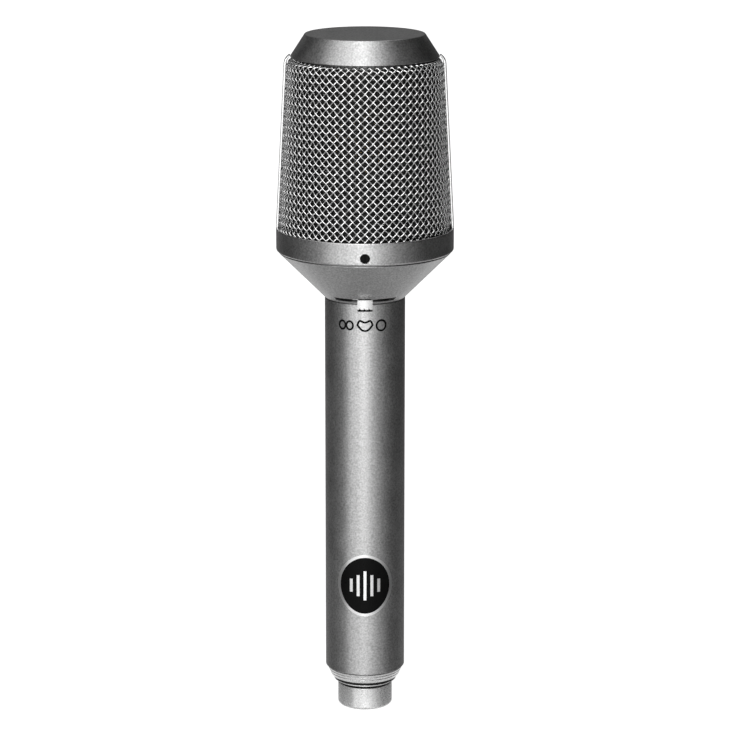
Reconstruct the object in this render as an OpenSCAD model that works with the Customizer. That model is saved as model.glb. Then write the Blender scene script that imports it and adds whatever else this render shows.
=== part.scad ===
// Small side-address studio microphone with three switched pickup patterns.
// Millimetres, +Z up. The origin is the middle of the barrel, on its axis. The front faces -Y.

/* [Barrel] */
// Outside diameter of the barrel that a stand clamp grips
barrel_d = 22; // [21:0.5:24]
// Length of the straight barrel
barrel_len = 105.6; // [100:1:120]
// Wall of the barrel tube
barrel_wall = 0.8; // [0.7:0.1:1]

/* [Head] */
// Outside diameter of the ring at the foot of the grille
ring_d = 48.4; // [46:0.2:52]
// Height of the grille ring
ring_h = 6.1; // [6:0.1:8]
// Height of the woven grille between the ring and the cap
grille_h = 46.5; // [42:0.5:52]
// Inward taper of the grille, in degrees from vertical
grille_taper = 3.05; // [2:0.05:4]
// Thickness of the woven grille wall
mesh_t = 0.95; // [0.8:0.05:1.1]
// Height of the cap
cap_h = 6.15; // [5:0.05:8]
// Diameter of the flat top of the cap
cap_top_d = 32.4; // [30:0.2:34]

/* [Pattern switch] */
// Turn of the lever from its middle place to an outer one, in degrees
lever_turn = 27; // [24:1:30]
// Width of the lever's thumb pad, as an angle each side
pad_half = 8.5; // [7:0.5:11]

/* [Badge and marks] */
// Width of the oval badge round the barrel
badge_w = 15; // [12:0.5:17]
// Height of the oval badge
badge_h = 17.7; // [14:0.1:20]
// Line width of the pattern marks
mark_line = 0.56; // [0.3:0.02:0.6]

/* [Connector] */
// Outside diameter of the connector neck
neck_d = 15.1; // [14.5:0.1:16]
// Length of the neck below the collar
neck_len = 6.35; // [6:0.05:9]
// Number of contact pins
pin_count = 5; // [3:1:7]

/* [Hidden] */
$fn = 96;

// Barrel
barrel_r = barrel_d / 2;
bore_r = barrel_r - barrel_wall;
z_top = barrel_len / 2;
z_foot = -barrel_len / 2;
slide_gap = 0.05;

// Head cone, a 45 degree cone from the barrel out to the grille ring
ring_r = ring_d / 2;
cone_foot_r = barrel_r - 0.1;
z_cone = z_top + 0.2;
cone_rim_r = ring_r - 0.2;
z_rim = z_cone + cone_rim_r - cone_foot_r;
cone_wall = 2.2;
seam_gap = 0.3;
seam_depth = 0.7;
spigot_drop = 5.8;
spigot_in_r = bore_r - 1;
ledge_r = 18;
deck_r = 20.2;
collar_r = ring_r - 1.6;
z_deck = z_rim + 0.3;
z_collar = z_rim + 3.5;

// Grille
z_ring = z_rim;
z_ring_top = z_ring + ring_h;
mesh_foot_r = ring_r - 0.77;
z_mesh = z_ring_top - 2.1;
z_cap = z_ring_top + grille_h;
z_cap_top = z_cap + cap_h;
cap_top_r = cap_top_d / 2;
cap_rim_r = 20.2;
z_shoulder = z_cap - 2.35;
shoulder_r = 2.2;
strip_t = 0.77;
strip_w = 3.2;
gauze_t = 0.5;

// Grub screws that hold the grille down on the head cone
grub_r = 1.3;
grub_z = z_rim + 2.05;
grub_count = 3;

// Capsule, on an axis along Y
capsule_z = z_ring_top + 24;
capsule_r = 11;
backplate_r = 9;
spacer_half = 0.5;
backplate_t = 2.9;
film_t = 0.06;
film_r = 9.3;
clamp_t = 0.95;
clamp_bolt_r = 9.95;
clamp_count = 8;
z_clamp = spacer_half + backplate_t + film_t;
cradle_t = 1.2;
post_r = 2.2;
lead_r = 0.35;
lead_y = 5.6;

// Pattern switch stack, inside the foot of the head cone
z_slot = z_top + 0.87;
slot_h = 0.95;
slot_half = 42;
rotor_r = 9.5;
rotor_t = 0.7;
z_rotor = z_slot - 0.48;
z_arm = z_rotor + rotor_t;
arm_t = 0.5;
arm_half = 20;
arm_out_r = 9.9;
pocket_r = 10;
stem_r = 2.5;
stem_bore_r = 1.5;
running_gap = 0.05;
z_bulk = z_top - 5.5;
bulk_t = 2;
z_flange = z_bulk + bulk_t;
z_wafer = z_flange + 0.6;
wafer_t = 1.2;
contact_r = 6.6;
contact_t = 0.25;
z_leaf = z_arm + 1.45;
pad_in_r = barrel_r + 1;
pad_out_r = barrel_r + 2.8;
pad_drop = 2.4;
z_pad = z_arm + arm_t + 0.3;

// Chassis inside the barrel
rod_x = 7.6;
rod_r = 1.1;
screw_r = 0.8;
z_lower = z_foot + 3.6;
lower_t = 3;
valve_r = 4.9;
z_valve = 12;
valve_len = 28;
cushion_r = 5.9;
board_w = 13;
board_t = 1.6;
z_board = -21;
board_len = 29;
pin_x = 5.2;
can_r = 6.4;
can_len = 21;

// Collar and connector at the foot
z_collar_foot = z_foot - 4.4;
z_neck_top = z_collar_foot - 0.85;
neck_r = neck_d / 2;
neck_wall = 1.05;
z_neck = z_neck_top - neck_len;
z_insert = z_foot - 3.8;
contact_circle_r = 4.7;
contact_pin_r = 0.6;

// Radius of the woven grille's outer face at height z on its straight part
function mesh_r(z) = mesh_foot_r - (z - z_ring_top) * tan(grille_taper);

// Line of the grille, d inside its outer face, from height z0 up over the shoulder to end_angle
function grille_line(d, z0, r, z_bend, end_angle) =
    let (cx = mesh_r(z_bend) - r * cos(grille_taper), cz = z_bend - r * sin(grille_taper))
    concat(
        [[mesh_r(z0) - d / cos(grille_taper), z0]],
        [for (k = [0:6])
            let (a = grille_taper + (end_angle - grille_taper) * k / 6)
            [cx + (r - d) * cos(a), cz + (r - d) * sin(a)]]
    );

function reversed(list) = [for (k = [len(list) - 1:-1:0]) list[k]];

module grille_band(d0, d1, z0, end_angle) {
    polygon(concat(
        grille_line(d0, z0, shoulder_r, z_shoulder, end_angle),
        reversed(grille_line(d1, z0, shoulder_r, z_shoulder, end_angle))
    ));
}

// Turns a profile through half_angle each side of the direction at angle, where the front is -90
module swept(angle, half_angle) {
    rotate([0, 0, angle - half_angle]) rotate_extrude(angle = 2 * half_angle) children();
}

module tube(r_out, r_in, z0, z1) {
    translate([0, 0, z0]) difference() {
        cylinder(r = r_out, h = z1 - z0);
        translate([0, 0, -1]) cylinder(r = r_in, h = z1 - z0 + 2);
    }
}

module rod(r, z0, z1) {
    translate([0, 0, z0]) cylinder(r = r, h = z1 - z0);
}

module ring_of(count, r) {
    for (k = [0:count - 1]) rotate([0, 0, 360 * k / count]) translate([r, 0, 0]) children();
}

// Places a child drawn along +X at the front and at equal steps round the axis
module round_from_front(count) {
    for (k = [0:count - 1]) rotate([0, 0, -90 + 360 * k / count]) children();
}

// ---- Head: cap, grille and ring ----

module top_cap() color("dimgray") rotate_extrude() polygon([
    [0, z_cap_top], [cap_top_r - 0.35, z_cap_top],
    [cap_top_r - 0.1, z_cap_top - 0.1], [cap_top_r, z_cap_top - 0.35],
    [cap_rim_r, z_cap + 0.1], [cap_rim_r - 0.05, z_cap], [18.2, z_cap - 0.05], [18.2, z_cap - 2.2],
    [17.2, z_cap - 2.2], [17.2, z_cap + 0.9], [cap_top_r - 1.2, z_cap_top - 1.2], [0, z_cap_top - 1.2]
]);

module grille_mesh(angle) {
    swept(angle, 89.6) grille_band(0, mesh_t, z_mesh, 62);
}

module grille_mesh_front() color("silver") grille_mesh(-90);

module grille_mesh_rear() color("silver") grille_mesh(90);

module gauze_liner() color("gray") rotate_extrude()
    grille_band(mesh_t + 0.05, mesh_t + 0.05 + gauze_t, z_mesh, 50);

// Flat metal strip up the seam of the grille, lapped over the rim of the cap
module side_strip(angle) {
    bend = 2.3;
    lap = 1.8;
    lean = atan((cap_rim_r - cap_top_r) / (z_cap_top - z_cap));
    inner = grille_line(0, z_ring_top, bend, z_cap - 1.6, lean);
    outer = grille_line(-strip_t, z_ring_top, bend, z_cap - 1.6, lean);
    up = lap * [-sin(lean), cos(lean)];
    swept(angle, asin(strip_w / 2 / mesh_foot_r)) polygon(concat(
        inner, [inner[len(inner) - 1] + up], [outer[len(outer) - 1] + up], reversed(outer)
    ));
}

module side_strip_left() color("lightgray") side_strip(180);

module side_strip_right() color("lightgray") side_strip(0);

module grille_ring() color("dimgray") difference() {
    rotate_extrude() polygon([
        [collar_r + slide_gap, z_ring], [ring_r - 0.3, z_ring], [ring_r, z_ring + 0.45],
        [ring_r, z_ring_top - 0.25], [ring_r - 0.2, z_ring_top], [mesh_foot_r + 0.17, z_ring_top],
        [mesh_foot_r + 0.17, z_mesh - 0.1], [collar_r + slide_gap, z_mesh - 0.1]
    ]);
    round_from_front(grub_count) translate([deck_r, 0, grub_z]) rotate([0, 90, 0])
        cylinder(r = grub_r + 0.05, h = 6);
}

module grille_screws() color("black") round_from_front(grub_count)
    translate([deck_r + 0.7, 0, grub_z]) rotate([0, 90, 0]) difference() {
        cylinder(r = grub_r, h = 2.4);
        translate([-grub_r - 1, -0.2, 1.6]) cube([2 * grub_r + 2, 0.4, 1]);
    }

// ---- Head cone, with the slot that the lever moves in ----

module head_cone() color("darkgray") difference() {
    rotate_extrude() polygon([
        [bore_r - slide_gap, z_top - spigot_drop], [bore_r - slide_gap, z_top], [cone_foot_r - 0.45, z_top],
        [cone_foot_r - 0.45, z_cone], [cone_foot_r, z_cone], [cone_rim_r - seam_gap, z_rim - seam_gap],
        [cone_rim_r - seam_depth, z_rim - seam_gap], [cone_rim_r - seam_depth, z_rim], [collar_r, z_rim],
        [collar_r, z_collar], [deck_r, z_collar], [deck_r, z_deck], [ledge_r, z_deck],
        [ledge_r, z_cone + ledge_r + cone_wall - cone_foot_r],
        [pocket_r + 0.6, z_cone + pocket_r + 0.6 + cone_wall - cone_foot_r],
        [pocket_r, z_cone + pocket_r + 0.6 + cone_wall - cone_foot_r], [pocket_r, z_cone],
        [spigot_in_r, z_cone], [spigot_in_r, z_top - spigot_drop]
    ]);
    swept(-90, slot_half) translate([pocket_r - 1, z_slot]) square([5, slot_h]);
    round_from_front(grub_count) translate([deck_r - 1, 0, grub_z]) rotate([0, 90, 0])
        cylinder(r = grub_r + 0.05, h = collar_r - deck_r + 1.5);
    at_platform_screws() rod(screw_r, z_deck - 3, z_deck + 1);
}

// ---- Capsule and its mounting ----

module at_platform_screws() {
    rotate([0, 0, 45]) ring_of(4, ledge_r + 1.1) children();
}

module capsule_platform() color("burlywood") difference() {
    rod(deck_r - 0.1, z_deck, z_deck + 1.5);
    rod(4.2, z_deck - 1, z_deck + 3);
    at_platform_screws() rod(screw_r + 0.05, z_deck - 1, z_deck + 3);
    for (y = [-lead_y, lead_y]) translate([-8, y, 0]) rod(lead_r + 0.1, z_deck - 1, z_deck + 3);
}

module pan_screw(r, z0, z1, head_r, head_h) {
    rod(r, z0, z1);
    difference() {
        rod(head_r, z1, z1 + head_h);
        translate([-head_r - 1, -0.15, z1 + head_h * 0.55]) cube([2 * head_r + 2, 0.3, head_h]);
    }
}

module platform_screws() color("silver") at_platform_screws()
    pan_screw(screw_r, z_deck - 2.9, z_deck + 1.5, 1.05, 0.9);

module shock_ring() color("black") translate([0, 0, z_deck]) rotate_extrude() polygon([
    [post_r, -1.6], [4.8, -1.6], [5.6, -0.8], [5.6, 0], [4.2, 0],
    [4.2, 1.5], [5.6, 1.5], [5.6, 2.3], [4.8, 3.1], [post_r, 3.1]
]);

module capsule_post() color("silver") difference() {
    union() {
        rod(post_r, z_deck - 2.6, capsule_z - capsule_r - cradle_t - 0.7);
        rod(4, z_deck - 2.6, z_deck - 1.6);
        rod(4, z_deck + 3.1, z_deck + 4);
    }
    rod(lead_r + 0.1, z_deck - 4, capsule_z);
}

// Puts a child's +Z along the capsule's own axis, pointing to the front (side 1) or the rear (side -1)
module on_capsule(side) {
    translate([0, 0, capsule_z]) rotate([side * 90, 0, 0]) children();
}

module capsule_cradle() color("darkgray") difference() {
    union() {
        on_capsule(1) tube(capsule_r + cradle_t, capsule_r + slide_gap, -2.6, 2.6);
        rod(3.2, capsule_z - capsule_r - cradle_t - 2.6, capsule_z - capsule_r - 0.7);
    }
    translate([-15, -5, capsule_z - 1]) cube([30, 10, 20]);
    on_capsule(1) rod(capsule_r + slide_gap, -3.5, 3.5);
    rod(post_r, capsule_z - capsule_r - cradle_t - 4, capsule_z - capsule_r - cradle_t - 0.7);
    rod(lead_r + 0.1, capsule_z - capsule_r - cradle_t - 4, capsule_z);
}

module capsule_spacer() color("ivory") on_capsule(1) tube(capsule_r, 3, -spacer_half, spacer_half);

module backplate(side) {
    on_capsule(side) difference() {
        rod(backplate_r, spacer_half, spacer_half + backplate_t - 0.05);
        rod(0.4, spacer_half + 1, spacer_half + 4);
        ring_of(6, 3.2) rod(0.4, spacer_half + 1, spacer_half + 4);
        ring_of(12, 6.4) rod(0.4, spacer_half + 1, spacer_half + 4);
    }
}

module backplate_front() color("gold") backplate(1);

module backplate_rear() color("gold") backplate(-1);

module capsule_ring(side) {
    on_capsule(side) difference() {
        tube(capsule_r, backplate_r + 0.15, spacer_half, spacer_half + backplate_t);
        ring_of(clamp_count, clamp_bolt_r) rod(0.4, spacer_half + 0.9, spacer_half + backplate_t + 1);
    }
}

module capsule_ring_front() color("ivory") capsule_ring(1);

module capsule_ring_rear() color("ivory") capsule_ring(-1);

module diaphragm(side) {
    on_capsule(side) rod(film_r, spacer_half + backplate_t, spacer_half + backplate_t + film_t);
}

module diaphragm_front() color("goldenrod") diaphragm(1);

module diaphragm_rear() color("goldenrod") diaphragm(-1);

module clamp_ring(side) {
    on_capsule(side) difference() {
        tube(capsule_r, film_r - 0.7, z_clamp, z_clamp + clamp_t);
        ring_of(clamp_count, clamp_bolt_r) rod(0.45, z_clamp - 1, z_clamp + clamp_t + 1);
    }
}

module clamp_ring_front() color("silver") clamp_ring(1);

module clamp_ring_rear() color("silver") clamp_ring(-1);

module clamp_screws() color("gray") for (side = [1, -1]) on_capsule(side) ring_of(clamp_count, clamp_bolt_r)
    pan_screw(0.38, spacer_half + 1, z_clamp + clamp_t, 0.7, 0.45);

// Insulated leads: one up beside each face of the capsule, and one up the post to the plates between them
module capsule_leads() color("firebrick") {
    for (side = [-1, 1]) translate([-8, side * lead_y, 0]) {
        rod(lead_r, z_deck - 1, capsule_z - 6);
        translate([0, 0, capsule_z - 6]) sphere(r = lead_r);
        translate([0, 0, capsule_z - 6]) rotate([side * 90, 0, 0])
            rod(lead_r, 0, lead_y - z_clamp - clamp_t);
    }
    rod(lead_r, z_deck - 2.6, capsule_z - capsule_r);
}

// ---- Pattern switch: the lever and what turns with it ----

module pattern_lever() color("white") {
    swept(-90, arm_half) translate([5.4, z_arm]) square([arm_out_r - 5.4, arm_t]);
    swept(-90, pad_half - 0.5) translate([arm_out_r - 0.1, z_arm])
        square([pad_in_r - arm_out_r + 0.3, arm_t]);
    difference() {
        swept(-90, pad_half) polygon([
            [pad_in_r, z_pad - 0.3], [pad_in_r + 0.35, z_pad - 0.3], [pad_in_r + 0.75, z_pad],
            [pad_out_r - 0.15, z_pad], [pad_out_r, z_pad - 0.15],
            [pad_out_r, z_arm - pad_drop + 0.4], [pad_out_r - 0.3, z_arm - pad_drop],
            [pad_in_r, z_arm - pad_drop]
        ]);
        for (a = [-1:1]) rotate([0, 0, -90 + a * 5.1]) translate([pad_out_r, 0, z_arm - pad_drop])
            rotate([0, -20, 45]) cube([0.55, 0.55, 2], center = true);
    }
}

module at_rivets() {
    for (a = [-12, 12]) rotate([0, 0, -90 + a]) translate([7.2, 0, 0]) children();
}

module switch_rotor() color("saddlebrown") difference() {
    union() {
        rod(rotor_r, z_rotor, z_arm);
        rod(4.2, z_rotor - 0.4, z_arm + 1.3);
    }
    rod(stem_r + running_gap, z_rotor - 2, z_arm + 3);
    for (a = [-1:1]) rotate([0, 0, 90 + a * lever_turn]) translate([7.4, 0, 0])
        rod(0.6, z_rotor - 1, z_arm + 1);
    at_rivets() rod(0.5, z_rotor - 1, z_arm + 1);
    swept(-90, arm_half + 1) translate([5.3, z_arm]) square([5, 2]);
}

module rotor_rivets() color("gold") at_rivets() {
    rod(0.5, z_rotor, z_arm);
    rod(0.8, z_rotor - 0.3, z_rotor);
}

module switch_wipers() color("gold") for (k = [0:2]) rotate([0, 0, -90 + 120 * k + 60]) {
    translate([contact_r - 1.2, -0.9, z_rotor - 0.25]) cube([2.2, 1.8, 0.25]);
    translate([contact_r, 0, 0]) rod(0.45, z_wafer + wafer_t + contact_t + 0.05, z_rotor - 0.25);
}

// ---- Pattern switch: the fixed parts ----

module switch_wafer() color("peru") difference() {
    rod(spigot_in_r - 0.1, z_wafer, z_wafer + wafer_t);
    rod(stem_r + running_gap, z_wafer - 1, z_wafer + 3);
}

module wafer_contacts() color("silver") for (k = [0:2], a = [-1:1])
    rotate([0, 0, -90 + 120 * k + 60 + a * lever_turn]) translate([contact_r, 0, 0])
        rod(0.85, z_wafer + wafer_t, z_wafer + wafer_t + contact_t);

module switch_bush() color("gold") difference() {
    union() {
        rod(stem_r, z_bulk - 1.2, z_leaf + 1.1);
        rod(4, z_flange, z_wafer);
    }
    rod(stem_bore_r, z_bulk - 3, z_leaf + 3);
    tube(stem_r + 1, stem_r - 0.3, z_leaf + 0.3, z_leaf + 0.7);
}

module switch_circlip() color("gray") swept(90, 150)
    translate([stem_r - 0.3, z_leaf + 0.3]) square([1.5, 0.4]);

module detent_spring() color("silver") difference() {
    union() {
        rod(4.4, z_leaf, z_leaf + 0.3);
        translate([-1.2, 3, z_leaf]) cube([2.4, 5.4, 0.3]);
    }
    rod(stem_r, z_leaf - 1, z_leaf + 1);
}

module detent_ball() color("silver") translate([0, 7.4, z_leaf - 0.7]) sphere(r = 0.7);

// ---- Barrel, pattern marks and badge ----

// Thin shell round the barrel's front, cut to an outline drawn in X and Z
module on_barrel(r0, r1, angle = 0) {
    intersection() {
        tube(r1, r0, z_foot, z_top);
        rotate([0, 0, angle]) rotate([90, 0, 0]) linear_extrude(height = barrel_r + 2) children();
    }
}

function oval(w, h, steps) = [for (k = [0:steps - 1]) let (t = 360 * k / steps)
    [w / 2 * cos(t), h / 2 * sin(t)]];

// Dimpled heart curve of a one-sided pickup pattern, its dimple upwards
function heart(w) = [for (k = [0:59]) let (t = 6 * k)
    w * [sin(t) / 2, 0.042 + 0.339 * cos(t) - 0.047 * cos(2 * t) - 0.044 * cos(4 * t) - 0.026 * cos(5 * t)]];

module mark_oval(w, h) difference() {
    polygon(oval(w, h, 36));
    polygon(oval(w - 2 * mark_line, h - 2 * mark_line, 36));
}

module mark_heart(w) difference() {
    polygon(heart(w));
    offset(delta = -mark_line) polygon(heart(w));
}

mark_z = z_top - 5.8;
mark_floor_r = barrel_r - 0.15;

// Figure of eight, heart and circle, at the lever's three places
module marks(r0, r1) {
    on_barrel(r0, r1, -lever_turn - 1) translate([0, mark_z]) union() {
        translate([-1.1, 0]) mark_oval(2.45, 2.85);
        translate([1.1, 0]) mark_oval(2.45, 2.85);
    }
    on_barrel(r0, r1) translate([0, mark_z]) mark_heart(4.64);
    on_barrel(r0, r1, lever_turn - 3.4) translate([0, mark_z]) mark_oval(3.25, 3.43);
}

module pattern_marks() color("black") marks(mark_floor_r, barrel_r - 0.03);

module body_tube() color("silver") difference() {
    rotate_extrude() polygon([
        [bore_r, z_foot], [barrel_r - 0.15, z_foot], [barrel_r, z_foot + 0.15],
        [barrel_r, z_top - 0.1], [barrel_r - 0.1, z_top], [bore_r, z_top]
    ]);
    marks(mark_floor_r, barrel_r + 1);
}

badge_z = z_foot + 26.2;
rim_w = 0.75;
badge_t = 0.12;
rim_t = 0.2;

module badge_plate() color("black") on_barrel(barrel_r, barrel_r + badge_t) translate([0, badge_z])
    polygon(oval(badge_w - 2 * rim_w, badge_h - 2 * rim_w, 60));

module badge_rim() color("silver") on_barrel(barrel_r, barrel_r + rim_t) translate([0, badge_z]) difference() {
    polygon(oval(badge_w, badge_h, 60));
    polygon(oval(badge_w - 2 * rim_w, badge_h - 2 * rim_w, 60));
}

// Plain sound-level motif: upright bars of different heights
module badge_bars() color("silver") on_barrel(barrel_r + badge_t, barrel_r + rim_t) translate([0, badge_z])
    for (k = [-2:2]) {
        h = 8.4 - 2.3 * abs(k);
        translate([k * 1.9 - 0.4, -h / 2]) square([0.8, h]);
    }

// ---- Chassis and electronics inside the barrel ----

module at_rods() {
    for (x = [-rod_x, rod_x]) translate([x, 0, 0]) children();
}

module upper_bulkhead() color("gray") difference() {
    rod(spigot_in_r, z_bulk, z_flange);
    rod(stem_r, z_bulk - 1, z_flange + 1);
    at_rods() rod(screw_r, z_bulk - 1, z_flange + 1);
    for (y = [-6, 6]) translate([0, y, 0]) rod(0.9, z_bulk - 1, z_flange + 1);
}

module lower_bulkhead() color("gray") difference() {
    rod(bore_r - 0.1, z_lower, z_lower + lower_t);
    at_rods() rod(screw_r, z_lower - 1, z_lower + lower_t + 1);
    rod(2.4, z_lower - 1, z_lower + lower_t + 1);
}

module chassis_rods() color("silver") difference() {
    at_rods() rod(rod_r, z_lower + lower_t, z_bulk);
    at_rods() rod(screw_r, z_bulk - 3, z_bulk + 1);
    at_rods() rod(screw_r, z_lower + lower_t - 1, z_lower + lower_t + 3);
}

module chassis_screws() color("silver") at_rods() {
    pan_screw(screw_r, z_bulk - 2.9, z_flange, 1.2, 0.55);
    mirror([0, 0, 1]) pan_screw(screw_r, -z_lower - lower_t - 2.9, -z_lower, 1.4, 0.8);
}

module valve() color("lightcyan") {
    rod(valve_r, z_valve, z_valve + valve_len - valve_r * 0.6);
    translate([0, 0, z_valve + valve_len - valve_r * 0.6]) intersection() {
        sphere(r = valve_r);
        rod(valve_r + 1, 0, valve_r + 1);
    }
    ring_of(5, 2.6) rod(0.25, z_valve - 4, z_valve);
}

valve_hold_z = [z_valve + 3, z_valve + valve_len - 8];

module valve_brackets() color("gray") for (z = valve_hold_z) difference() {
    rod(9.6, z, z + 1.2);
    rod(cushion_r, z - 1, z + 3);
    at_rods() rod(rod_r, z - 1, z + 3);
    for (y = [-12, 7.4]) translate([-12, y, z - 1]) cube([24, 4.6, 4]);
}

module valve_cushions() color("black") for (z = valve_hold_z) translate([0, 0, z]) rotate_extrude() polygon([
    [valve_r, -0.9], [6.4, -0.9], [6.4, 0], [cushion_r, 0],
    [cushion_r, 1.2], [6.4, 1.2], [6.4, 2.1], [valve_r, 2.1]
]);

module tag_board() color("saddlebrown") translate([-board_w / 2, -board_t / 2, z_board]) difference() {
    cube([board_w, board_t, board_len]);
    for (z = [2.5, board_len - 2.5]) translate([board_w / 2, -1, z]) rotate([-90, 0, 0])
        cylinder(r = 0.8, h = 5);
}

resistor_z = [for (k = [0:4]) z_board + 4.5 + 5 * k];

module tag_pins() color("gold") for (x = [-pin_x, pin_x], z = resistor_z)
    translate([x, 0, z]) rotate([90, 0, 0])
    rod(0.42, board_t / 2, board_t / 2 + 2.2);

module resistors() color("tan") for (z = resistor_z)
    translate([0, -board_t / 2 - 1.3, z]) rotate([0, 90, 0]) {
    rod(1.1, -2.8, 2.8);
    rod(0.25, -pin_x + 0.42, -2.8);
    rod(0.25, 2.8, pin_x - 0.42);
}

module capacitors() color("steelblue") {
    for (x = [-2.9, 2.9]) translate([x, board_t / 2 + 2.75, 0]) rod(2.7, z_board + 1, z_board + 14);
    translate([0, board_t / 2 + 3.45, 0]) rod(3.4, z_board + 15, z_board + 27);
}

z_can = z_lower + lower_t;

module transformer_core() color("dimgray") translate([-4, -3, z_can + 2]) difference() {
    cube([8, 6, 15]);
    for (x = [1.2, 5.4]) translate([x, -1, 3]) cube([1.4, 8, 9]);
}

module transformer_coil() color("peru") translate([0, 0, z_can + 5]) difference() {
    translate([-2.8, -4.6, 0.2]) cube([5.6, 9.2, 8.6]);
    translate([-1.4, -3, -1]) cube([2.8, 6, 12]);
}

module transformer_can() color("lightgray") difference() {
    rod(can_r, z_can, z_can + can_len);
    rod(can_r - 0.4, z_can - 1, z_can + can_len - 0.5);
    rod(1, z_can + can_len - 2, z_can + can_len + 1);
}

// ---- Collar and connector ----

// Outer face of the collar: a cone, an undercut, then a bead above the neck
collar_top_r = barrel_r - 0.4;
collar_cone_r = barrel_r - 1.6;
z_collar_top = z_foot - 0.3;
z_undercut = z_foot - 2.95;
z_bead = z_foot - 3.9;
bead_r = neck_r + 1.35;
undercut_r = neck_r + 1.1;
bead_foot_r = neck_r + 0.65;
neck_waist_r = neck_r - 0.3;
groove_drops = [1.1, 2];
groove_depth = 0.13;

module end_collar() color("silver") difference() {
    rotate_extrude() polygon([
        [bore_r - slide_gap, z_foot + 2.4], [bore_r - slide_gap, z_foot], [collar_top_r - 0.4, z_foot],
        [collar_top_r - 0.4, z_collar_top], [collar_top_r, z_collar_top], [collar_cone_r, z_undercut],
        [undercut_r, z_undercut], [undercut_r, z_bead], [bead_r, z_bead], [bead_foot_r, z_collar_foot],
        [neck_waist_r + slide_gap, z_collar_foot], [neck_waist_r + slide_gap, z_foot - 1.1],
        [spigot_in_r, z_foot - 1.1], [spigot_in_r, z_foot + 2.4]
    ]);
    for (drop = groove_drops) {
        r = lookup(drop, [[0.3, collar_top_r], [2.95, collar_cone_r]]) - groove_depth;
        rotate_extrude() polygon([
            [r, z_foot - drop], [r + 0.6, z_foot - drop + 0.6], [r + 0.6, z_foot - drop - 0.4]
        ]);
    }
}

module connector_neck() color("silver") {
    rotate_extrude() polygon(concat(
        [[neck_r - neck_wall, z_neck]],
        [for (a = [-90:15:0]) [neck_r - 0.7 + 0.7 * cos(a), z_neck + 0.7 + 0.7 * sin(a)]],
        [[neck_r, z_neck_top], [neck_waist_r, z_neck_top], [neck_waist_r, z_foot - 1.1],
         [spigot_in_r - 0.1, z_foot - 1.1], [spigot_in_r - 0.1, z_foot], [neck_r - neck_wall, z_foot]]
    ));
    translate([-0.6, neck_r - neck_wall - 0.6, z_neck + 0.8]) cube([1.2, 0.8, z_insert - z_neck - 0.8]);
}

module at_pins() {
    rotate([0, 0, 90 + 180 / pin_count]) ring_of(pin_count, contact_circle_r) children();
}

module connector_insert() color("saddlebrown") difference() {
    rod(neck_r - neck_wall, z_insert, z_foot);
    at_pins() rod(contact_pin_r, z_insert - 1, z_foot + 1);
    rod(0.8, z_insert - 1, z_insert + 2);
}

module contact_pins() color("gold") at_pins() {
    rod(contact_pin_r, z_neck + 2.2, z_foot + 1.2);
    translate([0, 0, z_neck + 2.2]) sphere(r = contact_pin_r);
}

top_cap();
grille_mesh_front();
grille_mesh_rear();
gauze_liner();
side_strip_left();
side_strip_right();
grille_ring();
grille_screws();
head_cone();
capsule_platform();
platform_screws();
shock_ring();
capsule_post();
capsule_cradle();
capsule_spacer();
backplate_front();
backplate_rear();
capsule_ring_front();
capsule_ring_rear();
diaphragm_front();
diaphragm_rear();
clamp_ring_front();
clamp_ring_rear();
clamp_screws();
capsule_leads();
pattern_lever();
switch_rotor();
rotor_rivets();
switch_wipers();
switch_wafer();
wafer_contacts();
switch_bush();
switch_circlip();
detent_spring();
detent_ball();
body_tube();
pattern_marks();
badge_plate();
badge_rim();
badge_bars();
upper_bulkhead();
lower_bulkhead();
chassis_rods();
chassis_screws();
valve();
valve_brackets();
valve_cushions();
tag_board();
tag_pins();
resistors();
capacitors();
transformer_core();
transformer_coil();
transformer_can();
end_collar();
connector_neck();
connector_insert();
contact_pins();
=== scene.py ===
# Side-address studio microphone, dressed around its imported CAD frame. Metres, +Z up, the front faces -Y.
# Lengths in the tables below are in millimetres and are turned into metres where a mesh is made.
import math

import bmesh
import bpy
import numpy as np
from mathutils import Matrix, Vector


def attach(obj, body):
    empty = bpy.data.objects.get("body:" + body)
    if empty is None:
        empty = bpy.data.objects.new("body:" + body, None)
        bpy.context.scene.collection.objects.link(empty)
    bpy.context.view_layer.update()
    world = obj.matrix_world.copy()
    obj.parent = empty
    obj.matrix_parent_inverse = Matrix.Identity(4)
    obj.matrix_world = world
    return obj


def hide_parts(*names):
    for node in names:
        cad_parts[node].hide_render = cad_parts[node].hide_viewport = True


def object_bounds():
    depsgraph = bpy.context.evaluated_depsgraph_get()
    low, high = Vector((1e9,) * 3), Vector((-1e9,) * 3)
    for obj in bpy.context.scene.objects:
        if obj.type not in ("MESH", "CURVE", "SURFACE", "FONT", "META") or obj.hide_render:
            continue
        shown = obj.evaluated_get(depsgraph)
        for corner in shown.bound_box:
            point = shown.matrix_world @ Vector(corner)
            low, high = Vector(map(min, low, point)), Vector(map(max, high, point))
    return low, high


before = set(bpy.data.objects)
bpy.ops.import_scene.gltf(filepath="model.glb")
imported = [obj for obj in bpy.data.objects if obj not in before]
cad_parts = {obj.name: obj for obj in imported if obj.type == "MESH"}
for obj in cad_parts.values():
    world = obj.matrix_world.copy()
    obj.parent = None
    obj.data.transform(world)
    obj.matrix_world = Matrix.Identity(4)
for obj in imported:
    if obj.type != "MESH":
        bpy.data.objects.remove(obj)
cad_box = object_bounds()

MM = 0.001
MAIN = "microphone"
TAU = 2 * math.pi

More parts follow.
